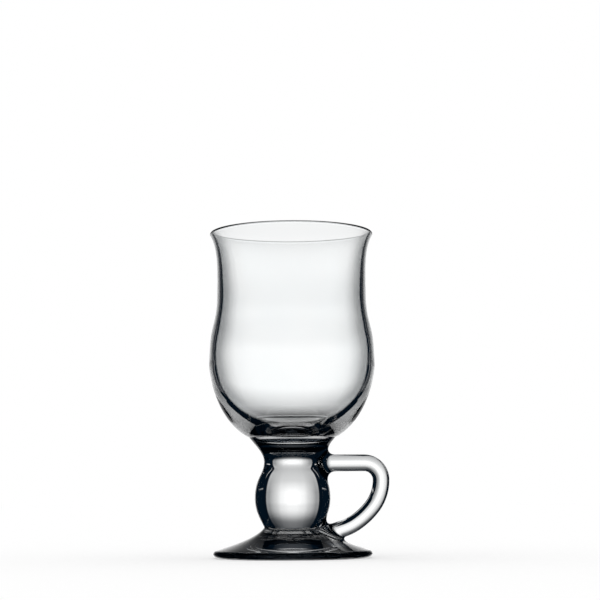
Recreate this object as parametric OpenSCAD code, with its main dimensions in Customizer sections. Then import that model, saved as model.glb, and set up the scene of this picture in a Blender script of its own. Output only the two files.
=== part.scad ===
// A footed glass mug for hot drinks: a waisted bowl on a short stem with a
// solid knop, a spreading foot and a rod handle that bridges stem and foot.
// Lengths are millimetres. The axis of the mug is Z, it stands on z = 0 and
// the handle points along +X.

/* [Bowl] */
// Height of the bowl, from its joint with the stem to the top of the rim
bowl_h = 95.4; // [86:0.2:104]
// Outer diameter across the rounded rim
rim_d = 75.7; // [72:0.1:84]
// Thickness of the fire-polished rim
rim_t = 1.8; // [1.4:0.1:2.6]
// Outer diameter of the waist under the rim
waist_d = 69.1; // [64:0.1:71]
// Outer diameter of the belly
belly_d = 76.5; // [74:0.1:84]
// Thickness of the wall at the waist
waist_wall = 2.7; // [1.8:0.1:3.5]
// Thickness of the wall at the belly
belly_wall = 3; // [2:0.1:4]
// Thickness of the bottom of the bowl on the axis
bottom_t = 2.2; // [1.2:0.1:5]

/* [Stem] */
// Height of the stem, from the foot to the bowl
stem_h = 41; // [38:0.2:46]
// Diameter of the joint between bowl and stem
seat_d = 39.6; // [36:0.2:44]
// Diameter of the neck above the knop
neck_d = 26.2; // [23:0.2:30]
// Diameter of the solid knop
knop_d = 34.8; // [32:0.2:38]
// Diameter of the joint between stem and foot
ankle_d = 26.2; // [23:0.2:30]

/* [Foot] */
// Height of the foot, from the table to the stem
foot_h = 13.9; // [12:0.1:18]
// Diameter of the foot
foot_d = 72.7; // [68:0.1:80]
// Thickness of the foot's rounded edge
edge_t = 3.6; // [2.8:0.1:4.4]
// Distance over which that edge turns in to the standing ring
toe_w = 3.2; // [2:0.1:5]
// Depth of the hollow under the foot
hollow_h = 2.2; // [1:0.1:4]
// Width of the flat ring that the mug stands on
ring_w = 2; // [1:0.1:4]

/* [Handle] */
// Distance from the axis of the mug to the outside of the handle
reach = 44.5; // [43:0.1:48]
// Height of the handle's straight run above the table, at its centre
run_z = 43.2; // [41.5:0.1:44.4]
// Diameter of the rod where it leaves the stem
rod_top_d = 7.7; // [6.5:0.1:9]
// Diameter of the rod where it meets the foot
rod_foot_d = 7.7; // [6:0.1:8.2]
// Centreline radius of the bend after the straight run
bend_r = 7.8; // [6.5:0.1:9]
// Centreline radius of the sweep under the bend
sweep_r = 20; // [16:0.5:22]
// Centreline radius of the flatter stretch that runs towards the foot
tail_r = 33.5; // [28:0.5:45]
// Centreline radius of the last turn, onto the root of the foot
landing_r = 23.5; // [18:0.5:30]
// Fillet where the rod spreads onto the stem
stem_fillet = 6; // [3:0.1:6.3]
// Fillet on the upper side of the rod, where it spreads onto the foot
inner_fillet = 5.5; // [3:0.1:6]
// Fillet on the outer side of the rod, where it spreads onto the foot
outer_fillet = 3.8; // [2.5:0.1:5]

/* [Hidden] */
$fn = 96;

// Points in each stretch of a profile, and in a small rounding
stretch_n = 12;
round_n = 8;

// Heights of the joints
stem_z = foot_h;
seat_z = stem_z + stem_h;
rim_z = seat_z + bowl_h;

// Heights of the bowl's belly and waist, as shares of its height
belly_share = 0.341;
waist_share = 0.705;
belly_z = seat_z + belly_share * bowl_h;
waist_z = seat_z + waist_share * bowl_h;

// Heights of the neck and the knop, as shares of the stem's height
neck_share = 0.732;
knop_share = 0.324;
neck_z = stem_z + neck_share * stem_h;
knop_z = stem_z + knop_share * stem_h;

// Slopes of the profiles at the joints and the rim, in degrees from level
bowl_rise = 26.3;
lip_lean = 60;
neck_flare = 50.6;
ankle_rise = 68;
foot_slope = 22;
foot_root = 55.3;

// How far each profile runs on along its slope at the two ends of a
// stretch, as shares of the distance between those ends
belly_pull_shares = [0.455, 0.08];
waist_pull_shares = [0.61, 0.454];
lip_pull_shares = [0.33, 0.284];
neck_pull_shares = [0.28, 0.458];
knop_pull_shares = [0.545, 0.342];
ankle_pull_shares = [0.25, 0.444];
foot_pull_shares = [0.124, 0.267];
inner_bottom_pull_shares = [0.39, 0.437];

// The inside is widest a little above the level where the outside is
inner_belly_lift_share = 0.05;
inner_belly_z = belly_z + inner_belly_lift_share * bowl_h;
bottom_z = seat_z + bottom_t;

// A direction in a profile, from its angle above level
function along(angle) = [cos(angle), sin(angle)];

// A smooth stretch from a to b that leaves a at one angle and meets b at
// another, without the point a itself
function stretch(a, angle_a, b, angle_b, pull, n = stretch_n) =
    let (
        reach_ab = norm(b - a),
        c = a + pull[0] * reach_ab * along(angle_a),
        d = b - pull[1] * reach_ab * along(angle_b)
    )
    [for (i = [1:n])
        let (t = i / n, s = 1 - t)
        s * s * s * a + 3 * s * s * t * c + 3 * s * t * t * d + t * t * t * b];

// A round stretch about a centre, both ends included
function round_part(centre, r, from, to, n = round_n) =
    [for (i = [0:n]) centre + r * along(from + (to - from) * i / n)];

// An oval stretch about a centre, with half-widths a level and b upright
function oval_part(centre, a, b, from, to, n = round_n) =
    [for (i = [0:n]) let (d = along(from + (to - from) * i / n)) centre + [a * d[0], b * d[1]]];

// The pulls of a stretch for the way back along it
function back(pull) = [pull[1], pull[0]];

// The outside of the stem, from the ankle up to the seat of the bowl
ankle_point = [ankle_d / 2, stem_z];
knop_point = [knop_d / 2, knop_z];
neck_point = [neck_d / 2, neck_z];
seat_point = [seat_d / 2, seat_z];
stem_side = concat(
    [ankle_point],
    stretch(ankle_point, ankle_rise, knop_point, 90, ankle_pull_shares),
    stretch(knop_point, 90, neck_point, 90, knop_pull_shares),
    stretch(neck_point, 90, seat_point, neck_flare, neck_pull_shares)
);

// The foot's edge, oval below and round above, and its top from there in
// to the ankle
edge_low_share = 0.57;
edge_low = edge_low_share * edge_t;
edge_r = edge_t - edge_low;
edge_turn = 90 - foot_slope;
foot_edge = concat(
    oval_part([foot_d / 2 - toe_w, edge_low], toe_w, edge_low, -90, 0),
    round_part([foot_d / 2 - edge_r, edge_low], edge_r, edge_turn / round_n, edge_turn, round_n - 1)
);
edge_end = foot_edge[len(foot_edge) - 1];
foot_top = stretch(edge_end, 180 - foot_slope, ankle_point, 180 - foot_root, foot_pull_shares);

// The hollow under the foot is a shallow dome inside the standing ring
hollow_r = foot_d / 2 - toe_w - ring_w;
dome_r = (hollow_r * hollow_r + hollow_h * hollow_h) / (2 * hollow_h);
dome_half = asin(hollow_r / dome_r);
foot_hollow = round_part([0, hollow_h - dome_r], dome_r, 90, 90 - dome_half, stretch_n);

// The outside of the bowl, from its seat up to the rim
rim_r = rim_t / 2;
belly_point = [belly_d / 2, belly_z];
waist_point = [waist_d / 2, waist_z];
rim_centre = [rim_d / 2 - rim_r, rim_z - rim_r];
lip_point = rim_centre + rim_r * along(lip_lean - 90);
bowl_outside = concat(
    [seat_point],
    stretch(seat_point, bowl_rise, belly_point, 90, belly_pull_shares),
    stretch(belly_point, 90, waist_point, 90, waist_pull_shares),
    stretch(waist_point, 90, lip_point, lip_lean, lip_pull_shares)
);

// The inside of the bowl, from the rim down to the middle of its bottom
lip_inside = rim_centre + rim_r * along(lip_lean + 90);
inner_waist_point = waist_point - [waist_wall, 0];
inner_belly_point = [belly_point[0] - belly_wall, inner_belly_z];
bowl_inside = concat(
    stretch(lip_inside, lip_lean - 180, inner_waist_point, -90, back(lip_pull_shares)),
    stretch(inner_waist_point, -90, inner_belly_point, -90, back(waist_pull_shares)),
    stretch(inner_belly_point, -90, [0, bottom_z], -180, inner_bottom_pull_shares)
);

// The centreline of the handle lies in the plane of X and Z. Each station
// holds x, z and the angle of the side that faces away from the stem.
bend_x = reach - rod_side(0.5) - bend_r;
bend_z = run_z - bend_r;
sweep_x = bend_x + bend_r - sweep_r;
sweep_turn = 39;
tail_turn = 18;
landing_turn = 15;
tail_end = sweep_turn + tail_turn;
tail_centre = [sweep_x, bend_z] + (tail_r - sweep_r) * along(180 - sweep_turn);
landing_centre = tail_centre - (tail_r - landing_r) * along(180 - tail_end);
run_start = seat_d / 2;
bend_n = 9;
sweep_n = 6;
tail_n = 3;
landing_n = 3;

function arc_stations(centre, r, from, to, n) =
    [for (i = [1:n]) let (a = from + (to - from) * i / n) concat(centre + r * along(a), a)];

stations = concat(
    [[run_start, run_z, 90], [bend_x, run_z, 90]],
    arc_stations([bend_x, bend_z], bend_r, 90, 0, bend_n),
    arc_stations([sweep_x, bend_z], sweep_r, 0, -sweep_turn, sweep_n),
    arc_stations(tail_centre, tail_r, -sweep_turn, -tail_end, tail_n),
    arc_stations(landing_centre, landing_r, -tail_end, -tail_end - landing_turn, landing_n)
);

// Radius of the rod at a share of its length
function rod_side(share) = (rod_top_d + (rod_foot_d - rod_top_d) * share) / 2;

// How deep a point lies under the skin of stem and foot, positive inside
stem_by_z = [for (p = stem_side) [p[1], p[0]]];
foot_by_r = [for (i = [len(foot_top) - 1:-1:0]) foot_top[i]];
function inside(p) =
    let (r = norm([p[0], p[1]]))
    p[2] > stem_z ? r < lookup(p[2], stem_by_z) : p[2] < lookup(r, foot_by_r);

// Where a line from a point out of the glass leaves it, found by halving
halvings = 22;
function skin(from, way, low, high, left = halvings) =
    let (mid = (low + high) / 2)
    left == 0 ? from + mid * way :
    inside(from + mid * way) ? skin(from, way, mid, high, left - 1) : skin(from, way, low, mid, left - 1);

// The footprint of the rod at one end: a point of the skin for each side
// of the rod, at a given distance from the rod's centreline
sides = 28;
seat_gap = 0.05;
function spoke(station, phi) =
    let (n = along(station[2]))
    [cos(phi) * n[0], sin(phi), cos(phi) * n[1]];
function landing(station, way, depth, phi, r) =
    let (foot_of = [station[0], 0, station[1]] + r * spoke(station, phi))
    skin(foot_of, way, -depth, depth) + seat_gap * way;

// Rings of the fillet between the skin and the rod, and of the seat itself
fillet_n = 6;
seat_n = 4;
function fillet_size(f, phi) = (f[0] + f[1]) / 2 + (f[0] - f[1]) / 2 * cos(phi);
function fillet_rings(station, way, depth, rod, f) =
    [for (k = [0:fillet_n])
        let (a = 90 * k / fillet_n)
        [for (j = [0:sides - 1])
            let (phi = 360 * j / sides, g = fillet_size(f, phi))
            landing(station, way, depth, phi, rod + g * (1 - sin(a))) + g * (1 - cos(a)) * way]];
function seat_rings(station, way, depth, rod, f) =
    [for (k = [1:seat_n - 1])
        [for (j = [0:sides - 1])
            let (phi = 360 * j / sides)
            landing(station, way, depth, phi, (rod + fillet_size(f, phi)) * k / seat_n)]];

// Two ends of the rod, and how far along it a line may look for the skin
top_station = stations[0];
foot_station = stations[len(stations) - 1];
top_way = [1, 0, 0];
foot_way = [-sin(foot_station[2]), 0, cos(foot_station[2])];
top_depth = run_start;
foot_depth = foot_h;

rod_rings =
    [for (i = [1:len(stations) - 1])
        let (s = stations[i], r = rod_side((i - 1) / (len(stations) - 2)))
        [for (j = [0:sides - 1]) [s[0], 0, s[1]] + r * spoke(s, 360 * j / sides)]];

// Skin of a closed tube through rings of points, with a point at each end
module tube(first, rings, last) {
    m = len(rings[0]);
    points = concat([first], [for (ring = rings) for (p = ring) p], [last]);
    end = len(points) - 1;
    base = end - m;
    faces = concat(
        [for (j = [0:m - 1]) [0, 1 + (j + 1) % m, 1 + j]],
        [for (i = [0:len(rings) - 2], j = [0:m - 1])
            let (a = 1 + i * m + j, b = 1 + i * m + (j + 1) % m) [a, b, b + m]],
        [for (i = [0:len(rings) - 2], j = [0:m - 1])
            let (a = 1 + i * m + j, b = 1 + i * m + (j + 1) % m) [a, b + m, a + m]],
        [for (j = [0:m - 1]) [end, base + j, base + (j + 1) % m]]
    );
    polyhedron(points, faces);
}

// The hollow bowl with its rounded rim and its flat joint with the stem
module bowl() {
    color("lightcyan")
        rotate_extrude()
            polygon(concat(
                [[0, seat_z]],
                bowl_outside,
                round_part(rim_centre, rim_r, lip_lean - 90, lip_lean + 90),
                bowl_inside
            ));
}

// The solid stem: a flare under the bowl, a neck and a knop
module stem() {
    color("lightblue")
        rotate_extrude()
            polygon(concat([[0, stem_z]], stem_side, [[0, seat_z]]));
}

// The spreading foot, hollow underneath
module foot() {
    color("lightblue")
        rotate_extrude()
            polygon(concat(foot_hollow, foot_edge, foot_top, [[0, stem_z]]));
}

// The rod handle, seated on the stem at its top and on the foot below
module handle() {
    top_f = [stem_fillet, stem_fillet];
    foot_f = [outer_fillet, inner_fillet];
    top_rod = rod_side(0);
    foot_rod = rod_side(1);
    rings = concat(
        seat_rings(top_station, top_way, top_depth, top_rod, top_f),
        fillet_rings(top_station, top_way, top_depth, top_rod, top_f),
        rod_rings,
        [for (k = [fillet_n:-1:0])
            fillet_rings(foot_station, foot_way, foot_depth, foot_rod, foot_f)[k]],
        [for (k = [seat_n - 2:-1:0])
            seat_rings(foot_station, foot_way, foot_depth, foot_rod, foot_f)[k]]
    );
    color("azure")
        tube(
            landing(top_station, top_way, top_depth, 0, 0),
            rings,
            landing(foot_station, foot_way, foot_depth, 0, 0)
        );
}

bowl();
stem();
foot();
handle();
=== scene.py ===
"""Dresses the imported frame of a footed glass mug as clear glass, and sets its stage.

Lengths are metres and angles radians, in the frame of the CAD: the axis of the mug is Z,
it stands on z = 0, and the handle points along +X. Every piece is one closed surface.
Where two pieces are fused in the real mug, their touching faces carry the attribute
"fused", or lie inside a footprint of the handle, and don't bend light. The foot, the
stem's top and the bowl's base have dark bands in their colour, because traced glass
alone leaves them too light.
"""

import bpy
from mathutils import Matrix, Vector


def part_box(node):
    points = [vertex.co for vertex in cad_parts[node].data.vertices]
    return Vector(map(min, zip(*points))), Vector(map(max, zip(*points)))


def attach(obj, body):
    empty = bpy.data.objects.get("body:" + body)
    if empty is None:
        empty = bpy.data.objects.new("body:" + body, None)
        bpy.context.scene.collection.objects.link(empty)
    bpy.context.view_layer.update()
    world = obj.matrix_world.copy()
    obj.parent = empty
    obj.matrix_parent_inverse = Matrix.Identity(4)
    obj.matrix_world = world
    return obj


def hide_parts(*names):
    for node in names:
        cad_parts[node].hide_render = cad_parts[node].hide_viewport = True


bl_info = {
    "name": "Footed glass mug",
    "version": (1, 0, 0),
    "blender": (4, 5, 0),
    "location": "View3D > Sidebar > Glass mug",
    "description": "Builds the smooth glass of a footed mug for hot drinks, and its stage",
    "category": "Add Mesh",
}

import math

import bpy
import numpy as np
from bpy.props import FloatProperty, FloatVectorProperty, PointerProperty
from mathutils import Matrix

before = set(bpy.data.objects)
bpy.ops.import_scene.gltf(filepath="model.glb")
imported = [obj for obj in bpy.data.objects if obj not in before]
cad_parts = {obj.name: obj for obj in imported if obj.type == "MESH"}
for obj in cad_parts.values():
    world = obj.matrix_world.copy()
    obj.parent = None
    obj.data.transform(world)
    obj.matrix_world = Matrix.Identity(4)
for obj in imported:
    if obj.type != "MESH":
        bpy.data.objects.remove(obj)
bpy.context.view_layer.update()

MM = 0.001
BOWL_LOW, BOWL_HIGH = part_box("bowl")
STEM_LOW, STEM_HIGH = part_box("stem")
FOOT_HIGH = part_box("foot")[1]
HANDLE_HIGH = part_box("handle")[1]

# Heights of the belly and the waist as shares of the bowl's height, and of
# the neck and the knop as shares of the stem's height
BELLY_SHARE = 0.341
WAIST_SHARE = 0.705
NECK_SHARE = 0.732
KNOP_SHARE = 0.324

# How much higher the inside is widest than the outside, as a share of the
# bowl's height, and the oval lower part of the foot's edge, as a share of its
# thickness
INNER_BELLY_LIFT_SHARE = 0.05
EDGE_SHARE = 0.57

# How far a stretch of a profile runs on along its slope at each end, as
# shares of the distance between the two ends
BELLY_PULLS = (0.455, 0.08)
WAIST_PULLS = (0.61, 0.454)
INNER_WAIST_PULLS = (0.51, 0.45)
LIP_PULLS = (0.33, 0.284)
INNER_BOTTOM_PULLS = (0.35, 0.48)
NECK_PULLS = (0.28, 0.458)
KNOP_PULLS = (0.545, 0.342)
ANKLE_PULLS = (0.25, 0.444)
FOOT_PULLS = (0.124, 0.267)

# Points round a turned piece, along a stretch, round a small rounding, and
# across a flat face that is fused to another piece
ROUND_POINTS = 256
STRETCH_POINTS = 40
ROUNDING_POINTS = 16
FACE_POINTS = 3

# Points round the handle's rod, along its bends, and over its roots
ROD_POINTS = 72
BEND_POINTS = 28
SWEEP_POINTS = 22
TAIL_POINTS = 12
LANDING_POINTS = 10
FILLET_POINTS = 14
SEAT_POINTS = 6

# Halvings that set a point of a root on the skin below it
HALVINGS = 40

# The rod turns a quarter under its run, then through these three angles
SWEEP_TURN = math.radians(39)
TAIL_TURN = math.radians(18)
LANDING_TURN = math.radians(15)

# Edges sharper than this are kept crisp: the rims of the fused faces
CRISP_ANGLE = math.radians(35)

# Slopes of a profile that runs straight up or straight down
UP = math.radians(90)
DOWN = -UP

# The uneven parts of the melt are this share as dense as the waves of the skin,
# and turn to the deep tint between these two levels of their noise
MELT_SHARE = 0.4
MELT_LEVELS = (0.3, 0.7)

# Levels of the noise between which the painted, streaky shade on the foot rises to full
PAINTED_STREAK_LEVELS = (0.35, 0.6)

# Turns from the back of the middles of the light panels
BACK_CORNER = math.radians(45)
SIDE = math.radians(90)
FRONT_CORNER = math.radians(135)
FRONT = math.radians(180)

# Width of the picture in the camera, in the millimetres that lenses are given in
SENSOR_WIDTH = 36


class GlassMugSizes(bpy.types.PropertyGroup):
    """Sizes of the mug that the frame's boxes don't give"""

    rim_thickness: FloatProperty(
        name="Rim thickness", description="Thickness of the fire-polished rim",
        default=1.8 * MM, unit="LENGTH", precision=4)
    waist: FloatProperty(
        name="Waist", description="Outer diameter of the waist under the rim",
        default=69.1 * MM, unit="LENGTH", precision=4)
    belly: FloatProperty(
        name="Belly", description="Outer diameter of the bowl's belly",
        default=76.5 * MM, unit="LENGTH", precision=4)
    rim: FloatProperty(
        name="Rim", description="Outer diameter across the rounded rim",
        default=75.7 * MM, unit="LENGTH", precision=4)
    waist_wall: FloatProperty(
        name="Waist wall", description="Thickness of the wall at the waist",
        default=2.7 * MM, unit="LENGTH", precision=4)
    belly_wall: FloatProperty(
        name="Belly wall", description="Thickness of the wall at the belly",
        default=3 * MM, unit="LENGTH", precision=4)
    bottom: FloatProperty(
        name="Bottom", description="Thickness of the bowl's bottom on the axis",
        default=2.2 * MM, unit="LENGTH", precision=4)
    seat: FloatProperty(
        name="Seat", description="Diameter of the joint between bowl and stem",
        default=39.6 * MM, unit="LENGTH", precision=4)
    neck: FloatProperty(
        name="Neck", description="Diameter of the neck above the knop",
        default=26.2 * MM, unit="LENGTH", precision=4)
    knop: FloatProperty(
        name="Knop", description="Diameter of the solid knop",
        default=34.8 * MM, unit="LENGTH", precision=4)
    ankle: FloatProperty(
        name="Ankle", description="Diameter of the joint between stem and foot",
        default=26.2 * MM, unit="LENGTH", precision=4)
    foot_edge: FloatProperty(
        name="Foot edge", description="Thickness of the foot's rounded edge",
        default=3.6 * MM, unit="LENGTH", precision=4)
    foot_hollow: FloatProperty(
        name="Foot hollow", description="Depth of the hollow under the foot",
        default=2.2 * MM, unit="LENGTH", precision=4)
    foot_toe: FloatProperty(
        name="Foot toe",
        description="Distance over which the foot's edge turns in to the standing ring",
        default=3.2 * MM, unit="LENGTH", precision=4)
    foot_ring: FloatProperty(
        name="Standing ring", description="Width of the flat ring under the foot",
        default=2 * MM, unit="LENGTH", precision=4)
    rod_top: FloatProperty(
        name="Rod at the stem", description="Diameter of the handle's rod where it leaves the stem",
        default=7.7 * MM, unit="LENGTH", precision=4)
    rod_foot: FloatProperty(
        name="Rod at the foot", description="Diameter of the handle's rod where it meets the foot",
        default=7.7 * MM, unit="LENGTH", precision=4)
    run_height: FloatProperty(
        name="Run height", description="Height of the centre of the handle's straight run",
        default=43.2 * MM, unit="LENGTH", precision=4)
    bend: FloatProperty(
        name="Bend", description="Radius of the centreline in the bend after the run",
        default=7.8 * MM, unit="LENGTH", precision=4)
    sweep: FloatProperty(
        name="Sweep", description="Radius of the centreline in the sweep under the bend",
        default=20 * MM, unit="LENGTH", precision=4)
    tail: FloatProperty(
        name="Tail", description="Radius of the centreline in the flatter stretch to the foot",
        default=33.5 * MM, unit="LENGTH", precision=4)
    landing: FloatProperty(
        name="Landing",
        description="Radius of the centreline in the last turn, onto the root of the foot",
        default=23.5 * MM, unit="LENGTH", precision=4)
    stem_fillet: FloatProperty(
        name="Stem fillet", description="Fillet where the rod spreads onto the stem",
        default=6 * MM, unit="LENGTH", precision=4)
    inner_fillet: FloatProperty(
        name="Inner foot fillet", description="Fillet on the rod's inner side, onto the foot",
        default=5.5 * MM, unit="LENGTH", precision=4)
    outer_fillet: FloatProperty(
        name="Outer foot fillet", description="Fillet on the rod's outer side, onto the foot",
        default=3.8 * MM, unit="LENGTH", precision=4)


class GlassMugSlopes(bpy.types.PropertyGroup):
    """Slopes of the profile at its joints and its rim, from level"""

    bowl_rise: FloatProperty(
        name="Bowl rise", description="Slope of the bowl's outside where it leaves the stem",
        default=math.radians(26.3), subtype="ANGLE")
    lip_lean: FloatProperty(
        name="Lip lean", description="Slope of the flared lip under the rounded rim",
        default=math.radians(60), subtype="ANGLE")
    neck_flare: FloatProperty(
        name="Neck flare", description="Slope of the stem's flare where it meets the bowl",
        default=math.radians(50.6), subtype="ANGLE")
    ankle_rise: FloatProperty(
        name="Ankle rise", description="Slope of the stem where it leaves the foot",
        default=math.radians(68), subtype="ANGLE")
    foot_slope: FloatProperty(
        name="Foot slope", description="Slope of the foot's top at its edge",
        default=math.radians(22), subtype="ANGLE")
    foot_root: FloatProperty(
        name="Foot root", description="Slope of the foot's top where it meets the stem",
        default=math.radians(55.3), subtype="ANGLE")


class GlassMugLook(bpy.types.PropertyGroup):
    """Finish of the glass"""

    tint: FloatVectorProperty(
        name="Tint", description="Colour of clear glass with a breath of green",
        default=(0.992, 0.998, 0.997), subtype="COLOR", size=3, min=0, max=1)
    deep_tint: FloatVectorProperty(
        name="Deep tint", description="Colour where the melt is a little denser",
        default=(0.978, 0.99, 0.992), subtype="COLOR", size=3, min=0, max=1)
    ior: FloatProperty(
        name="Refraction", description="Index of refraction of soda-lime glass", default=1.5, min=1)
    ripple: FloatProperty(
        name="Ripple", description="Height of the soft waves left by blowing and tooling",
        default=0.004 * MM, unit="LENGTH", precision=6)
    ripple_size: FloatProperty(
        name="Ripple size", description="Distance between the soft waves",
        default=14 * MM, unit="LENGTH", precision=4)
    ring_wear: FloatProperty(
        name="Ring wear", description="Roughness of the worn standing ring",
        default=0.28, min=0, max=1)
    wear_full: FloatProperty(
        name="Full wear", description="Height up to which the standing ring is fully worn",
        default=0.02 * MM, unit="LENGTH", precision=5)
    wear_end: FloatProperty(
        name="Wear end", description="Height at which the wear of the standing ring ends",
        default=0.12 * MM, unit="LENGTH", precision=5)
    # Painted shade: the near-black colour that the bands below mix into the glass, where traced
    # glass alone is too light
    painted_shade_colour: FloatVectorProperty(
        name="Shade tint", description="Colour of the bands in which the solid glass shows dark",
        default=(0.0008, 0.0012, 0.0018), subtype="COLOR", size=3, min=0, max=1)
    # Painted shade on the bowl's base: the height it reaches above the seat, and its strength there
    base_reach: FloatProperty(
        name="Base reach",
        description="Height above the seat up to which the bowl's base is darker",
        default=8 * MM, unit="LENGTH", precision=4)
    base_shade: FloatProperty(
        name="Base shade", description="Strength of the darker base of the bowl at its seat",
        default=0.9, min=0, max=1)
    # Painted shade in a band round the stem just below the bowl: its lower and upper ends
    seat_shade_low: FloatProperty(
        name="Seam low", description="Depth below the bowl of the seat's dark band, at its bottom",
        default=2.5 * MM, unit="LENGTH", precision=4)
    seat_shade_high: FloatProperty(
        name="Seam high", description="Depth below the bowl of the seat's dark band, at its top",
        default=1.1 * MM, unit="LENGTH", precision=4)
    # Painted shade on the foot: a streaky band on its cone and an even band on its rounded edge
    cone_low: FloatProperty(
        name="Cone low", description="Height at which the dark band of the foot's cone starts",
        default=7.2 * MM, unit="LENGTH", precision=4)
    cone_high: FloatProperty(
        name="Cone high", description="Height at which the dark band of the foot's cone ends",
        default=12.6 * MM, unit="LENGTH", precision=4)
    cone_shade: FloatProperty(
        name="Cone shade", description="Lowest strength of the streaky band of the foot's cone",
        default=0.8, min=0, max=1)
    # Painted shade: spacing of the streaky darkening on the foot's cone
    painted_streak_size: FloatProperty(
        name="Streak size", description="Distance between the streaks of the foot's cone",
        default=7 * MM, unit="LENGTH", precision=4)
    edge_low: FloatProperty(
        name="Edge low", description="Height at which the dark band of the foot's edge starts",
        default=0.9 * MM, unit="LENGTH", precision=4)
    edge_high: FloatProperty(
        name="Edge high", description="Height at which the dark band of the foot's edge ends",
        default=3 * MM, unit="LENGTH", precision=4)
    shade_soft: FloatProperty(
        name="Shade edge", description="Width of the soft ends of the dark bands",
        default=0.4 * MM, unit="LENGTH", precision=4)


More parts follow.
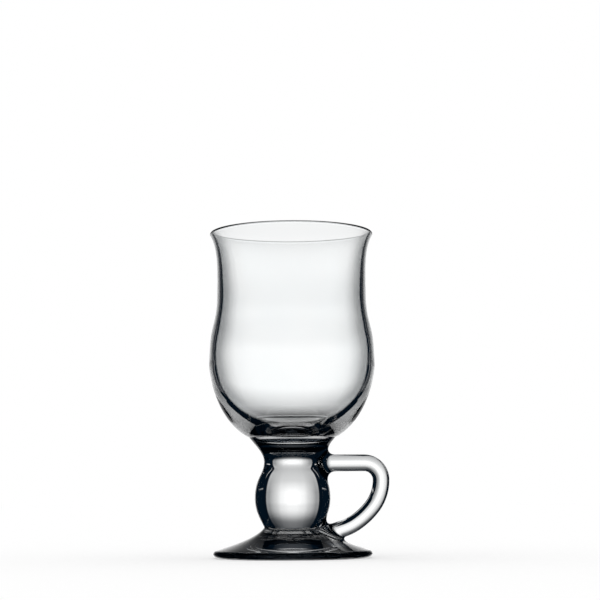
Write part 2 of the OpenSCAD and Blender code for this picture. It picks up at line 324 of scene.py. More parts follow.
class GlassMugStage(bpy.types.PropertyGroup):
    """Camera, floor and light"""

    lens: FloatProperty(
        name="Lens", description="Focal length of the camera's lens", default=103.92, unit="CAMERA")
    distance: FloatProperty(
        name="Distance", description="Distance from the axis of the mug to the camera",
        default=0.8, unit="LENGTH")
    height: FloatProperty(
        name="Height", description="Height of the camera above the floor",
        default=27 * MM, unit="LENGTH", precision=4)
    pitch: FloatProperty(
        name="Pitch", description="How far the camera looks up",
        default=math.radians(6.54), subtype="ANGLE")
    yaw: FloatProperty(
        name="Yaw", description="How far the camera looks to the right",
        default=math.radians(0.282), subtype="ANGLE")
    roll: FloatProperty(
        name="Roll", description="How far the camera leans",
        default=math.radians(-0.355), subtype="ANGLE")
    floor_size: FloatProperty(
        name="Floor", description="Half the width of the floor", default=6, unit="LENGTH")
    floor_shade: FloatProperty(
        name="Shadow depth",
        description="Share of the floor's white that comes from the light on it",
        default=0.6, min=0, max=1)
    panel_half: FloatProperty(
        name="Panel half-width", description="Half the width of the light panel before the mug",
        default=math.radians(31.5), subtype="ANGLE")
    side_half: FloatProperty(
        name="Side half-width", description="Half the width of the light panels beside the mug",
        default=math.radians(16), subtype="ANGLE")
    panel_core: FloatProperty(
        name="Panel core", description="Angle from a panel's middle up to which it is brightest",
        default=math.radians(3.8), subtype="ANGLE")
    panel_knee: FloatProperty(
        name="Panel knee", description="Height angle at which a panel has faded to its shelf",
        default=math.radians(8), subtype="ANGLE")
    panel_shoulder: FloatProperty(
        name="Panel shoulder", description="Height angle at which a panel's shelf ends",
        default=math.radians(9), subtype="ANGLE")
    panel_top: FloatProperty(
        name="Panel top",
        description="Height angle at which a panel has faded to its upper strength",
        default=math.radians(27), subtype="ANGLE")
    panel_shelf: FloatProperty(
        name="Shelf strength", description="Strength of a panel's shelf, as a share of its middle",
        default=0.84, min=0)
    panel_low: FloatProperty(
        name="Panel low",
        description="Angle below level at which a panel has faded to its lower strength",
        default=math.radians(15), subtype="ANGLE")
    panel_soft: FloatProperty(
        name="Panel edge", description="Width of the soft edge at a panel's sides",
        default=math.radians(1.5), subtype="ANGLE")
    panel_side: FloatProperty(
        name="Side strength",
        description="Strength of a panel at its sides, as a share of its middle",
        default=0.29, min=0)
    panel_roof: FloatProperty(
        name="Upper strength", description="Strength of a panel high up, as a share of its shelf",
        default=0.19, min=0)
    panel_foot: FloatProperty(
        name="Lower strength", description="Strength of a panel low down, as a share of its middle",
        default=0.62, min=0)
    table_low: FloatProperty(
        name="Table low", description="Angle below level at which the table's light has faded",
        default=math.radians(40), subtype="ANGLE")
    table_foot: FloatProperty(
        name="Table strength",
        description="Strength of the table's light far down, as a share of its edge",
        default=0.68, min=0)
    corner_half: FloatProperty(
        name="Corner half-width",
        description="Half the width of the light panels at the four corners",
        default=math.radians(11), subtype="ANGLE")
    corner_share: FloatProperty(
        name="Corner strength",
        description="Strength of the panels at the back corners, as a share of a panel's middle",
        default=0.9, min=0)
    corner_high: FloatProperty(
        name="Corner top",
        description="Angle below level up to which the panels at the back corners shine fully",
        default=math.radians(12), subtype="ANGLE")
    patch_from: FloatProperty(
        name="Patch from", description="Turn from the back at which the floor's dark patches start",
        default=math.radians(31), subtype="ANGLE")
    patch_to: FloatProperty(
        name="Patch to", description="Turn from the back at which the floor's dark patches end",
        default=math.radians(60), subtype="ANGLE")
    patch_size: FloatProperty(
        name="Patch size",
        description="Distance from the axis up to which the floor's patches are dark",
        default=0.18, unit="LENGTH")
    ground_start: FloatProperty(
        name="Ground start",
        description="Angle below level at which the light under the mug starts",
        default=math.radians(44), subtype="ANGLE")
    ground_full: FloatProperty(
        name="Ground full",
        description="Angle below level from which the light under the mug is full",
        default=math.radians(56), subtype="ANGLE")
    ground_share: FloatProperty(
        name="Ground strength",
        description="Strength of the light under the mug, as a share of a panel's middle",
        default=0.72, min=0)
    panel_end: FloatProperty(
        name="Panel end",
        description="Height angle at which the light above has faded to its far share",
        default=math.radians(42), subtype="ANGLE")
    far_share: FloatProperty(
        name="Far share", description="Share of the light that is left far above",
        default=0.2, min=0)
    panel_peak: FloatProperty(
        name="Panel peak", description="Strength of the light panels at their middle",
        default=1.18, min=0)
    back_half: FloatProperty(
        name="Back half-width", description="Half the width of the light behind the card",
        default=math.radians(33), subtype="ANGLE")
    back_fade: FloatProperty(
        name="Back fade",
        description="Angle from its middle at which the light behind the card has faded",
        default=math.radians(16), subtype="ANGLE")
    back_side: FloatProperty(
        name="Back side strength", description="Strength of the faded light behind the card",
        default=0.76, min=0)
    low_fade: FloatProperty(
        name="Low fade", description="Share of the fade towards the sides that is left below level",
        default=0.2, min=0, max=1)
    card_distance: FloatProperty(
        name="Card distance", description="Distance of the card from the mug's axis",
        default=0.3, unit="LENGTH")
    card_size: FloatProperty(
        name="Card size", description="Half the width of the card",
        default=0.24, unit="LENGTH")
    card_tallness: FloatProperty(
        name="Card tallness", description="Height of the card over its width",
        default=2.5, min=0)
    card_core: FloatProperty(
        name="Card core", description="Distance from the card's middle up to which it is clear",
        default=0.06, unit="LENGTH", precision=4)
    card_fade: FloatProperty(
        name="Card fade",
        description="Distance from the card's middle at which it has its lower clearness",
        default=0.14, unit="LENGTH", precision=4)
    card_side: FloatProperty(
        name="Card side", description="Clearness of the card beside its clear part",
        default=0.38, min=0, max=1)
    card_deep: FloatProperty(
        name="Card deep",
        description="Distance below the floor at which the card has its lower darkness",
        default=0.12, unit="LENGTH", precision=4)
    card_low: FloatProperty(
        name="Card low",
        description="Share of the card's darkness that it keeps far below the floor",
        default=0.2, min=0, max=1)
    card_half: FloatProperty(
        name="Card half-width",
        description="Distance from the card's middle at which it starts to be dark",
        default=0.168, unit="LENGTH", precision=4)
    card_soft: FloatProperty(
        name="Card edge", description="Width of the soft edge of the card's clear part",
        default=0.014, unit="LENGTH", precision=4)
    dark: FloatVectorProperty(
        name="Dark", description="Colour of the unlit room that glass shows beside the panels",
        default=(0.0012, 0.0048, 0.01), subtype="COLOR", size=3, min=0, max=1)


# Shader trees

class Wire:
    """An output socket that takes Python's operators: each adds one Math node."""

    def __init__(self, graph, socket):
        self.graph = graph
        self.socket = socket

    def __getitem__(self, name):
        """Another output of the same node."""
        return Wire(self.graph, self.socket.node.outputs[name])

    def math(self, operation, *others):
        """A Math node with this wire first."""
        sockets = dict(enumerate((self, *others)))
        return self.graph.node("ShaderNodeMath", {"operation": operation}, sockets)

    def __add__(self, other):
        return self.math("ADD", other)

    def __sub__(self, other):
        return self.math("SUBTRACT", other)

    def __rsub__(self, other):
        return self.graph.node("ShaderNodeMath", {"operation": "SUBTRACT"}, {0: other, 1: self})

    def __mul__(self, other):
        return self.math("MULTIPLY", other)

    def __lt__(self, other):
        return self.math("LESS_THAN", other)

    def __gt__(self, other):
        return self.math("GREATER_THAN", other)

    def __abs__(self):
        return self.math("ABSOLUTE")

    __radd__ = __add__
    __rmul__ = __mul__

    def root(self):
        return self.math("SQRT")

    def larger(self, other):
        """The larger of two values."""
        return self.math("MAXIMUM", other)

    def ramp(self, low, high, at_low, at_high):
        """One value up to low, another from high on, and an even change between."""
        return self.graph.node(
            "ShaderNodeMapRange", {"interpolation_type": "LINEAR"},
            {"Value": self, "From Min": low, "From Max": high, "To Min": at_low, "To Max": at_high})

    def step(self, low, high):
        """0 under low, 1 over high, and a smooth rise between."""
        return self.graph.node(
            "ShaderNodeMapRange", {"interpolation_type": "SMOOTHSTEP"},
            {"Value": self, "From Min": low, "From Max": high, "To Min": 0, "To Max": 1})


class Graph:
    """The node tree of a material or a world, emptied and made again."""

    def __init__(self, owner):
        owner.use_nodes = True
        self.tree = owner.node_tree
        self.tree.nodes.clear()

    def node(self, kind, settings=(), sockets=()):
        """Adds a node: its settings by name first, then a value or a wire for each socket named."""
        made = self.tree.nodes.new(kind)
        for name, value in dict(settings).items():
            setattr(made, name, value)
        for name, value in dict(sockets).items():
            if isinstance(value, Wire):
                self.tree.links.new(value.socket, made.inputs[name])
            else:
                made.inputs[name].default_value = value
        return Wire(self, made.outputs[0]) if made.outputs else None


def noise(graph, place, scale, **sockets):
    """Noise over the object: scale says how dense its waves are, other sockets go by name."""
    return graph.node("ShaderNodeTexNoise", sockets={"Vector": place, "Scale": scale, **sockets})


def glass_material(name, look, *footprints, wear=None, shade=None):
    """Clear glass: soft waves in the skin, an uneven melt, and nothing where pieces are fused.

    Each footprint takes the x, y and z wires and gives 1 inside a root of the handle. wear takes
    z and gives the roughness; shade takes z and the painted_streaks and gives the share of
    painted shade, a dark colour mixed into the glass.
    """
    material = bpy.data.materials.new(name)
    graph = Graph(material)
    place = graph.node("ShaderNodeTexCoord")["Object"]
    split = graph.node("ShaderNodeSeparateXYZ", sockets={0: place})
    waves = noise(graph, place, 1 / look.ripple_size, Detail=1.0, Roughness=0.4)
    melt = noise(graph, place, MELT_SHARE / look.ripple_size, Detail=2.0, Roughness=0.5)
    colour = mixed_colour(graph, melt.step(*MELT_LEVELS), look.tint, look.deep_tint)
    # Painted shade: a near-black colour mixed into the glass in bands, made streaky by noise, where
    # traced glass alone is too light
    if shade:
        painted_streaks = noise(
            graph, place, 1 / look.painted_streak_size, Detail=2.0, Roughness=0.6, Distortion=1.5)
        share = shade(split["Z"], painted_streaks.step(*PAINTED_STREAK_LEVELS))
        colour = mixed_colour(graph, share, colour, look.painted_shade_colour)
    fused = graph.node("ShaderNodeAttribute", {"attribute_name": "fused"})["Fac"]
    alpha = 1 - fused
    for footprint in footprints:
        alpha = alpha * (1 - footprint(split["X"], split["Y"], split["Z"]))
    bump = graph.node(
        "ShaderNodeBump", sockets={"Height": waves, "Distance": look.ripple, "Strength": 1.0})
    roughness = wear(split["Z"]) if wear else 0.0
    shader = graph.node("ShaderNodeBsdfPrincipled", sockets={
        "Base Color": colour, "Roughness": roughness, "IOR": look.ior,
        "Transmission Weight": 1.0, "Normal": bump, "Alpha": alpha})
    graph.node("ShaderNodeOutputMaterial", sockets={"Surface": shader})
    return material


def band(z, low, high, soft):
    """1 between two heights, with soft ends."""
    return z.step(low - soft, low) * (1 - z.step(high, high + soft))


def mixed_colour(graph, share, low, high):
    """A colour between two, by a share; the first can be a wire."""
    low = low if isinstance(low, Wire) else (*low, 1)
    mix = graph.node("ShaderNodeMix", {"data_type": "RGBA"}, {0: share, 6: low, 7: (*high, 1)})
    return Wire(graph, mix.socket.node.outputs[2])


# Meshes

def closed_surface(name, rings, fused_rows, material, slot, *nodes):
    """A piece from a grid of points: row i is a ring, and the first and last rows are poles.

    rings has one more axis for x, y, z. Each row is joined to the next by quads that face outwards
    where the rows run up and the columns anticlockwise. The two poles are fans of triangles.
    fused_rows says, for each gap between two rows, whether its faces touch another piece.
    """
    rows, columns, _ = rings.shape
    inner = rings[1:-1].reshape(-1, 3)
    points = np.vstack([rings[0, :1], inner, rings[-1, :1]])
    step = np.arange(columns)
    following = (step + 1) % columns
    starts = 1 + columns * np.arange(rows - 3)[:, None]
    quads = np.stack([starts + step, starts + following,
                      starts + columns + following, starts + columns + step], 2).reshape(-1, 4)
    first = np.stack([np.zeros(columns, int), 1 + following, 1 + step], 1)
    top = len(points) - 1
    last_row = top - columns
    last = np.stack([np.full(columns, top), last_row + step, last_row + following], 1)
    mesh = bpy.data.meshes.new(name)
    mesh.from_pydata(points, [], first.tolist() + quads.tolist() + last.tolist())
    fused = np.repeat(np.asarray(fused_rows, np.float32), columns)
    layer = mesh.attributes.new("fused", "FLOAT", "FACE")
    layer.data.foreach_set("value", fused)
    mesh.shade_smooth()
    mesh.set_sharp_from_angle(angle=CRISP_ANGLE)
    mesh.materials.append(material)
    mesh.validate()
    piece = bpy.data.objects.new(name, mesh)
    bpy.context.scene.collection.objects.link(piece)
    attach(piece, "root")
    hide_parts(*nodes)


def turned(profile):
    """Rings of a turned piece: each profile point (r, z) swept through a full turn about Z."""
    turn = 2 * np.pi * np.arange(ROUND_POINTS) / ROUND_POINTS
    r, z = profile[:, 0, None], profile[:, 1, None]
    return np.stack([r * np.cos(turn), r * np.sin(turn), z + 0 * turn], 2)


def along(angle):
    """A direction in a profile, from its angle above level."""
    return np.array([math.cos(angle), math.sin(angle)])


def stretch(a, angle_a, b, angle_b, pulls, count=STRETCH_POINTS):
    """A cubic Bezier curve from a, leaving at one angle, to b, met at another, without a itself.

    Its two control points lie along those slopes, at the given shares of the distance from a to b.
    """
    a, b = np.asarray(a, float), np.asarray(b, float)
    span = np.linalg.norm(b - a)
    c = a + pulls[0] * span * along(angle_a)
    d = b - pulls[1] * span * along(angle_b)
    t = np.arange(1, count + 1)[:, None] / count
    s = 1 - t
    return s**3 * a + 3 * s * s * t * c + 3 * s * t * t * d + t**3 * b


def rounding(centre, radius, start, end, count=ROUNDING_POINTS):
    """An arc about a centre from one angle to another, both ends included.

    A pair of radii, level and upright, makes it an oval arc.
    """
    angle = np.linspace(start, end, count + 1)[:, None]
    return np.asarray(centre) + np.asarray(radius) * np.hstack([np.cos(angle), np.sin(angle)])


def flat_face(start, end):
    """Points from start to end of a fused face, evenly spread, both ends included."""
    share = np.linspace(0, 1, FACE_POINTS + 1)[:, None]
    return np.asarray(start) + share * (np.asarray(end) - np.asarray(start))


def stem_profile(sizes, slopes):
    """The outside of the stem from the ankle over the knop and the neck to the bowl's seat."""
    low, high = STEM_LOW.z, STEM_HIGH.z
    ankle = (sizes.ankle / 2, low)
    knop = (sizes.knop / 2, low + KNOP_SHARE * (high - low))
    neck = (sizes.neck / 2, low + NECK_SHARE * (high - low))
    seat = (sizes.seat / 2, high)
    return np.vstack([
        ankle,
        stretch(ankle, slopes.ankle_rise, knop, UP, ANKLE_PULLS),
        stretch(knop, UP, neck, UP, KNOP_PULLS),
        stretch(neck, UP, seat, slopes.neck_flare, NECK_PULLS)])


def foot_profile(sizes, slopes):
    """The foot's rounded edge, from the table up, and its top, from the edge in to the ankle."""
    level = EDGE_SHARE * sizes.foot_edge
    radius = sizes.foot_edge - level
    toe = rounding((FOOT_HIGH.x - sizes.foot_toe, level), (sizes.foot_toe, level), DOWN, 0)
    shoulder = rounding((FOOT_HIGH.x - radius, level), radius, 0, UP - slopes.foot_slope)
    edge = np.vstack([toe, shoulder[1:]])
    ankle = (sizes.ankle / 2, FOOT_HIGH.z)
    top = stretch(
        edge[-1], math.pi - slopes.foot_slope, ankle, math.pi - slopes.foot_root, FOOT_PULLS)
    return edge, top


def bowl_profile(sizes, slopes):
    """The bowl's outside from seat to lip, its rounded rim, and its inside down to the axis."""
    low, high = BOWL_LOW.z, BOWL_HIGH.z
    height = high - low
    seat = (sizes.seat / 2, low)
    belly = (sizes.belly / 2, low + BELLY_SHARE * height)
    waist = (sizes.waist / 2, low + WAIST_SHARE * height)
    radius = sizes.rim_thickness / 2
    centre = np.array([sizes.rim / 2 - radius, high - radius])
    bead = rounding(centre, radius, slopes.lip_lean - UP, slopes.lip_lean + UP)
    inner_waist = (waist[0] - sizes.waist_wall, waist[1])
    inner_belly = (belly[0] - sizes.belly_wall, belly[1] + INNER_BELLY_LIFT_SHARE * height)
    bottom = (0, low + sizes.bottom)
    return np.vstack([
        stretch(seat, slopes.bowl_rise, belly, UP, BELLY_PULLS),
        stretch(belly, UP, waist, UP, WAIST_PULLS),
        stretch(waist, UP, bead[0], slopes.lip_lean, LIP_PULLS),
        bead[1:],
        stretch(bead[-1], slopes.lip_lean - math.pi, inner_waist, DOWN, LIP_PULLS[::-1]),
        stretch(inner_waist, DOWN, inner_belly, DOWN, INNER_WAIST_PULLS),
        stretch(inner_belly, DOWN, bottom, -math.pi, INNER_BOTTOM_PULLS)])


class HandlePath:
    """The centreline of the handle in the plane of X and Z, and its two footprints.

    A station is x, z and the angle of the side that faces away from the stem.
    """

    def __init__(self, sizes, slopes):
        self.sizes = sizes
        self.stem = stem_profile(sizes, slopes)
        self.foot = foot_profile(sizes, slopes)[1][::-1]
        reach = HANDLE_HIGH.x
        bend = (reach - self.rod(0.5) - sizes.bend, sizes.run_height - sizes.bend)
        sweep = (bend[0] + sizes.bend - sizes.sweep, bend[1])
        tail = np.array(sweep) + (sizes.tail - sizes.sweep) * along(math.pi - SWEEP_TURN)
        tail_end = SWEEP_TURN + TAIL_TURN
        landing = tail - (sizes.tail - sizes.landing) * along(math.pi - tail_end)
        self.stations = np.vstack([
            [sizes.seat / 2, sizes.run_height, UP],
            [bend[0], sizes.run_height, UP],
            self.arc(bend, sizes.bend, UP, 0, BEND_POINTS),
            self.arc(sweep, sizes.sweep, 0, -SWEEP_TURN, SWEEP_POINTS),
            self.arc(tail, sizes.tail, -SWEEP_TURN, -tail_end, TAIL_POINTS),
            self.arc(landing, sizes.landing, -tail_end, -tail_end - LANDING_TURN, LANDING_POINTS)])
        angle = self.stations[-1, 2]
        self.foot_way = np.array([-math.sin(angle), 0, math.cos(angle)])
        self.foot_side = np.array([math.cos(angle), 0, math.sin(angle)])

    @staticmethod
    def arc(centre, radius, start, end, count):
        """Stations round a centre, without the first."""
        points = rounding(centre, radius, start, end, count)[1:]
        return np.column_stack([points, np.linspace(start, end, count + 1)[1:]])

    def rod(self, share):
        """Radius of the rod at a share of its length."""
        return (self.sizes.rod_top + (self.sizes.rod_foot - self.sizes.rod_top) * share) / 2

    def inside(self, points):
        """Whether points lie inside the stem, by their height, or the foot, by their radius."""
        r = np.hypot(points[..., 0], points[..., 1])
        z = points[..., 2]
        in_stem = r < np.interp(z, self.stem[:, 1], self.stem[:, 0])
        in_foot = z < np.interp(r, self.foot[:, 0], self.foot[:, 1])
        return np.where(z > STEM_LOW.z, in_stem, in_foot)

    def landing(self, station, way, depth, spread):
        """Points of the skin under a ring of the rod: its spokes, spread out, moved along the way.

        Each point starts at the station plus spread times its spoke, and slides along the way
        until it leaves the glass, which is found by halving.
        """
        start = np.array([station[0], 0, station[1]]) + spread[:, None] * spokes(station[2])
        low = np.full(len(start), -depth)
        high = np.full(len(start), depth)
        for _ in range(HALVINGS):
            middle = (low + high) / 2
            deep = self.inside(start + middle[:, None] * way)
            low, high = np.where(deep, middle, low), np.where(deep, high, middle)
        return start + low[:, None] * way

    def root(self, station, way, depth, rod, outer, inner):
        """Rings of one root, from the middle of its seat out over the fillet to the rod.

        The fillet's size goes from outer to inner round the rod. Its ring at angle a lies
        over the skin at size (1 - sin a) from the rod, raised by size (1 - cos a).
        """
        turn = 2 * np.pi * np.arange(ROD_POINTS) / ROD_POINTS
        size = (outer + inner) / 2 + (outer - inner) / 2 * np.cos(turn)
        seat = [self.landing(station, way, depth, (rod + size) * k / SEAT_POINTS)
                for k in range(SEAT_POINTS)]
        fillet = []
        for angle in np.linspace(0, UP, FILLET_POINTS + 1):
            skin = self.landing(station, way, depth, rod + size * (1 - math.sin(angle)))
            fillet.append(skin + (size * (1 - math.cos(angle)))[:, None] * way)
        return seat + fillet

    def rings(self):
        """All rings of the handle, from the middle of its upper seat to that of its lower one."""
        sizes = self.sizes
        upper = self.root(self.stations[0], np.array([1, 0, 0]), sizes.seat / 2, self.rod(0),
                          sizes.stem_fillet, sizes.stem_fillet)
        lower = self.root(self.stations[-1], self.foot_way, FOOT_HIGH.z, self.rod(1),
                          sizes.outer_fillet, sizes.inner_fillet)
        shares = np.linspace(0, 1, len(self.stations) - 1)
        rod = [np.array([x, 0, z]) + self.rod(share) * spokes(angle)
               for (x, z, angle), share in zip(self.stations[1:], shares)]
        fused = [1] * SEAT_POINTS
        between = len(upper) + len(rod) + len(lower) - 1 - 2 * len(fused)
        return np.array(upper + rod + lower[::-1]), fused + [0] * between + fused

    def upper_footprint(self, x, y, z):
        """1 inside the circle about the run, on the handle's side, that the upper root covers."""
        radius = self.rod(0) + self.sizes.stem_fillet
        rise = z - self.sizes.run_height
        return ((y * y + rise * rise).root() < radius) * (x > 0)

    def lower_footprint(self, x, y, z):
        """1 inside the oval about the rod's end that the lower root covers, above the foot's edge.

        Seen along the rod, its radius is rod + mean fillet + difference / 2 * cos(turn).
        """
        x0, z0, _ = self.stations[-1]
        side = self.foot_side
        across = (x - x0) * side[0] + (z - z0) * side[2]
        radius = (across * across + y * y).root()
        mean = self.rod(1) + (self.sizes.outer_fillet + self.sizes.inner_fillet) / 2
        shift = (self.sizes.outer_fillet - self.sizes.inner_fillet) / 2
        above_edge = z > self.sizes.foot_edge
        return (radius * radius < radius * mean + across * shift) * (x > 0) * above_edge


def spokes(angle):
    """Unit vectors round the rod, from the side at this angle in the X-Z plane, towards -Y."""
    turn = 2 * np.pi * np.arange(ROD_POINTS) / ROD_POINTS
    outward = np.cos(turn)
    return np.stack([outward * math.cos(angle), -np.sin(turn), outward * math.sin(angle)], 1)


class GLASSMUG_OT_bowl(bpy.types.Operator):
    """Build the hollow bowl over the frame's bowl"""

    bl_idname = "glassmug.bowl"
    bl_label = "Bowl"

    def execute(self, context):
        sizes, slopes = context.scene.mug_sizes, context.scene.mug_slopes
        face = flat_face((0, BOWL_LOW.z), (sizes.seat / 2, BOWL_LOW.z))
        skin = bowl_profile(sizes, slopes)
        look = context.scene.mug_look

        def base(z, painted_streaks):
            """Painted shade: darkest at the seat, and clear from the base's reach on."""
            return z.ramp(BOWL_LOW.z, BOWL_LOW.z + look.base_reach, look.base_shade, 0)

        material = glass_material("bowl glass", look, shade=base)
        closed_surface("bowl_glass", turned(np.vstack([face, skin])),
                       [1] * FACE_POINTS + [0] * len(skin), material, "bowl_glass", "bowl")
        return {"FINISHED"}


class GLASSMUG_OT_stem(bpy.types.Operator):
    """Build the solid stem with its knop over the frame's stem"""

    bl_idname = "glassmug.stem"
    bl_label = "Stem"

    def execute(self, context):
        sizes, slopes = context.scene.mug_sizes, context.scene.mug_slopes
        skin = stem_profile(sizes, slopes)
        lower = flat_face((0, STEM_LOW.z), skin[0])
        upper = flat_face(skin[-1], (0, STEM_HIGH.z))
        path = HandlePath(sizes, slopes)
        look = context.scene.mug_look

        def painted_seat_shade(z, painted_streaks):
            """Painted shade in a band just below the seat, where bowl and stem flow together."""
            low, high = STEM_HIGH.z - look.seat_shade_low, STEM_HIGH.z - look.seat_shade_high
            return band(z, low, high, look.shade_soft)

        material = glass_material(
            "stem glass", look, path.upper_footprint, path.lower_footprint, shade=painted_seat_shade)
        fused = [1] * FACE_POINTS
        closed_surface("stem_glass", turned(np.vstack([lower, skin[1:], upper[1:]])),
                       fused + [0] * (len(skin) - 1) + fused, material, "stem_glass", "stem")
        return {"FINISHED"}


class GLASSMUG_OT_foot(bpy.types.Operator):
    """Build the spreading foot, hollow underneath, over the frame's foot"""

    bl_idname = "glassmug.foot"
    bl_label = "Foot"

    def execute(self, context):
        sizes, slopes = context.scene.mug_sizes, context.scene.mug_slopes
        edge, top = foot_profile(sizes, slopes)
        hollow_radius = edge[0, 0] - sizes.foot_ring
        depth = sizes.foot_hollow
        dome_radius = (hollow_radius**2 + depth**2) / (2 * depth)
        half = math.asin(hollow_radius / dome_radius)
        hollow = rounding((0, depth - dome_radius), dome_radius, UP, UP - half, STRETCH_POINTS)
        face = flat_face(top[-1], (0, FOOT_HIGH.z))
        skin = np.vstack([hollow, edge, top])
        path = HandlePath(sizes, slopes)
        look = context.scene.mug_look

        def wear(z):
            """Dull only close above the table."""
            return (1 - z.step(look.wear_full, look.wear_end)) * look.ring_wear

        def shade(z, painted_streaks):
            """Painted shade: a streaky band round the cone, and an even one on the rounded edge."""
            cone = band(z, look.cone_low, look.cone_high, look.shade_soft)
            edge = band(z, look.edge_low, look.edge_high, look.shade_soft)
            return (cone * painted_streaks.ramp(0, 1, look.cone_shade, 1)).larger(edge)

        material = glass_material("foot glass", look, path.lower_footprint, wear=wear, shade=shade)
        closed_surface("foot_glass", turned(np.vstack([skin, face[1:]])),
                       [0] * (len(skin) - 1) + [1] * FACE_POINTS, material, "foot_glass", "foot")
        return {"FINISHED"}


class GLASSMUG_OT_handle(bpy.types.Operator):
    """Build the rod handle with its two blended roots over the frame's handle"""

    bl_idname = "glassmug.handle"
    bl_label = "Handle"

    def execute(self, context):
        path = HandlePath(context.scene.mug_sizes, context.scene.mug_slopes)
        rings, fused = path.rings()
        material = glass_material("handle glass", context.scene.mug_look)
        closed_surface("handle_glass", rings, fused, material, "handle_glass", "handle")
        return {"FINISHED"}


def turn_from_back(way):
    """How far a direction is turned about Z from +Y, to either side."""
    return abs(way["X"].math("ARCTAN2", way["Y"]))


def panels_at(turn, middle, half, stage):
    """Share of light from two upright panels, at the same turn from the back on either side.

    Each is brightest in its middle, fades to its half-width, and ends there with a soft edge.
    """
    aside = abs(turn - middle)
    light = aside.ramp(stage.panel_core, half, 1, stage.panel_side)
    return light * (1 - aside.step(half, half + stage.panel_soft))


def in_glass(graph):
    """1 for rays that left glass or were mirrored in it, 0 for others; and the path's wires."""
    path = graph.node("ShaderNodeLightPath")
    return path["Is Transmission Ray"].larger(path["Is Glossy Ray"]), path


def dimmed(graph, share, stage):
    """A shader that lets all light through where the share is 0, and is dark where it is 1."""
    clear = graph.node("ShaderNodeBsdfTransparent")
    dark = graph.node("ShaderNodeEmission", sockets={"Color": (*stage.dark, 1), "Strength": 1.0})
    return graph.node("ShaderNodeMixShader", sockets={0: share, 1: clear, 2: dark})


def stage_sheet(name, corners):
    """A flat stage piece with one material, and the graph and the split place of that material."""
    mesh = bpy.data.meshes.new(name)
    mesh.from_pydata(corners, [], [(0, 1, 2, 3)])
    material = bpy.data.materials.new(name)
    mesh.materials.append(material)
    sheet = bpy.data.objects.new(name, mesh)
    bpy.context.scene.collection.objects.link(sheet)
    graph = Graph(material)
    place = graph.node("ShaderNodeTexCoord")["Object"]
    return sheet, graph, graph.node("ShaderNodeSeparateXYZ", sockets={0: place})


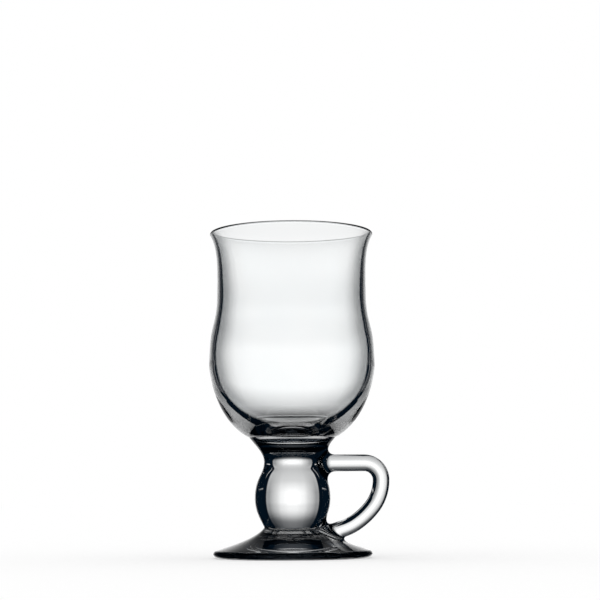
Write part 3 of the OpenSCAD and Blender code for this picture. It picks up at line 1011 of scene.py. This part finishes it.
class GLASSMUG_OT_stage(bpy.types.Operator):
    """Set up the camera, the pale floor and the light"""

    bl_idname = "glassmug.stage"
    bl_label = "Stage"

    def execute(self, context):
        scene, stage = context.scene, context.scene.mug_stage
        self.camera(scene, stage)
        self.floor(stage)
        self.card(stage)
        self.world(scene, stage)
        scene.view_settings.view_transform = "Standard"
        return {"FINISHED"}

    def camera(self, scene, stage):
        """A long lens a little above the floor, looking up at the middle of the mug."""
        data = bpy.data.cameras.new("camera")
        data.sensor_width = SENSOR_WIDTH
        data.lens = stage.lens
        camera = bpy.data.objects.new("camera", data)
        camera.matrix_world = (
            Matrix.Translation((0, -stage.distance, stage.height))
            @ Matrix.Rotation(-stage.yaw, 4, "Z")
            @ Matrix.Rotation(math.pi / 2 + stage.pitch, 4, "X")
            @ Matrix.Rotation(stage.roll, 4, "Z"))
        scene.collection.objects.link(camera)
        scene.camera = camera

    def floor(self, stage):
        """A white floor that keeps the shadow, and that glass looks through to the light.

        Glass sees two dark patches in it, on either side of the mug towards the back.
        """
        half = stage.floor_size
        floor, graph, place = stage_sheet(
            "floor", [(-half, -half, 0), (half, -half, 0), (half, half, 0), (-half, half, 0)])
        share = stage.floor_shade
        lit = graph.node("ShaderNodeBsdfDiffuse", sockets={"Color": (share, share, share, 1)})
        glow = graph.node(
            "ShaderNodeEmission", sockets={"Color": (1, 1, 1, 1), "Strength": 1 - share})
        white = graph.node("ShaderNodeAddShader", sockets={0: lit, 1: glow})
        turn = turn_from_back(place)
        radius = (place["X"] * place["X"] + place["Y"] * place["Y"]).root()
        patches = (turn.step(stage.patch_from, stage.patch_from + stage.panel_soft)
                   * (1 - turn.step(stage.patch_to, stage.patch_to + stage.panel_soft))
                   * (1 - radius.step(stage.patch_size - stage.card_soft, stage.patch_size)))
        through = dimmed(graph, patches, stage)
        seen = in_glass(graph)[0]
        shader = graph.node("ShaderNodeMixShader", sockets={0: seen, 1: white, 2: through})
        graph.node("ShaderNodeOutputMaterial", sockets={"Surface": shader})

    def card(self, stage):
        """An upright card behind the mug that only glass sees, clear in its middle.

        It darkens on either side of that, less so below the floor, and is dark at its sides.
        """
        half, far = stage.card_size, stage.card_distance
        tall = half * stage.card_tallness
        card, graph, place = stage_sheet("card", [
            (-half, far, -tall), (half, far, -tall), (half, far, tall), (-half, far, tall)])
        aside = abs(place["X"])
        body = aside.ramp(stage.card_core, stage.card_fade, 1, stage.card_side)
        deep = place["Z"].ramp(-stage.card_deep, 0, stage.card_low, 1)
        cut = 1 - aside.step(stage.card_half, stage.card_half + stage.card_soft)
        shade = in_glass(graph)[0] * (1 - (1 - (1 - body) * deep) * cut)
        shader = dimmed(graph, shade, stage)
        graph.node("ShaderNodeOutputMaterial", sockets={"Surface": shader})

    def world(self, scene, stage):
        """Plain white light, in which the glass sees upright panels of light in a dark room.

        The light behind the card shows in all that glass lets through or mirrors. The panels
        before the mug, beside it and at its corners, and the light far below, show only to rays
        that went through glass and weren't mirrored.
        """
        world = bpy.data.worlds.new("studio")
        scene.world = world
        graph = Graph(world)
        place = graph.node("ShaderNodeTexCoord")["Generated"]
        way = graph.node("ShaderNodeSeparateXYZ", sockets={0: place})
        seen, path = in_glass(graph)
        straight = path["Is Transmission Ray"] * (path["Glossy Depth"] < 1)
        turn = turn_from_back(way)
        height = way["Z"].math("ARCSINE")
        level = height.ramp(-stage.panel_low, -stage.panel_core, stage.low_fade, 1)
        back = ((1 - level * (1 - turn.ramp(stage.panel_core, stage.back_fade, 1, stage.back_side)))
                * (1 - turn.step(stage.back_half, stage.back_half + stage.panel_soft)))
        front = panels_at(turn, FRONT, stage.panel_half, stage)
        sides = panels_at(turn, SIDE, stage.side_half, stage)
        front_corners = panels_at(turn, FRONT_CORNER, stage.corner_half, stage)
        back_corners = (panels_at(turn, BACK_CORNER, stage.corner_half, stage) * stage.corner_share
                        * (1 - height.step(-stage.corner_high, -stage.panel_knee)))
        others = front.larger(sides).larger(front_corners).larger(back_corners)
        roof = 1 - (1 - stage.panel_roof) * height.step(stage.panel_shoulder, stage.panel_top)
        above = height.ramp(stage.panel_core, stage.panel_knee, 1, stage.panel_shelf) * roof
        below = height.ramp(-stage.panel_low, -stage.panel_core, stage.panel_foot, 1)
        table = height.ramp(-stage.table_low, -stage.panel_low, stage.table_foot, 1)
        far_up = height.ramp(stage.panel_top, stage.panel_end, 1, stage.far_share)
        panels = back.larger(others * straight) * above * below * table * far_up
        ground = (1 - height.step(-stage.ground_full, -stage.ground_start)) * stage.ground_share
        light = mixed_colour(graph, panels.larger(ground * straight), stage.dark, (1, 1, 1))
        plain = graph.node("ShaderNodeBackground", sockets={"Color": (1, 1, 1, 1), "Strength": 1.0})
        studio = graph.node(
            "ShaderNodeBackground", sockets={"Color": light, "Strength": stage.panel_peak})
        shader = graph.node("ShaderNodeMixShader", sockets={0: seen, 1: plain, 2: studio})
        graph.node("ShaderNodeOutputWorld", sockets={"Surface": shader})


class GLASSMUG_PT_sidebar(bpy.types.Panel):
    """The operators of the mug and its stage"""

    bl_label = "Glass mug"
    bl_idname = "GLASSMUG_PT_sidebar"
    bl_space_type = "VIEW_3D"
    bl_region_type = "UI"
    bl_category = "Glass mug"

    def draw(self, context):
        for operator in OPERATORS:
            self.layout.operator(operator.bl_idname)


OPERATORS = (
    GLASSMUG_OT_stage, GLASSMUG_OT_bowl, GLASSMUG_OT_stem, GLASSMUG_OT_foot, GLASSMUG_OT_handle)
GROUPS = {
    "mug_sizes": GlassMugSizes, "mug_slopes": GlassMugSlopes,
    "mug_look": GlassMugLook, "mug_stage": GlassMugStage}


def register():
    for group in GROUPS.values():
        bpy.utils.register_class(group)
    for name, group in GROUPS.items():
        setattr(bpy.types.Scene, name, PointerProperty(type=group))
    for made in (*OPERATORS, GLASSMUG_PT_sidebar):
        bpy.utils.register_class(made)


def unregister():
    for made in (GLASSMUG_PT_sidebar, *OPERATORS):
        bpy.utils.unregister_class(made)
    for name in GROUPS:
        delattr(bpy.types.Scene, name)
    for group in GROUPS.values():
        bpy.utils.unregister_class(group)


def main():
    register()
    bpy.ops.glassmug.stage()
    bpy.ops.glassmug.bowl()
    bpy.ops.glassmug.stem()
    bpy.ops.glassmug.foot()
    bpy.ops.glassmug.handle()


if __name__ == "__main__":
    main()
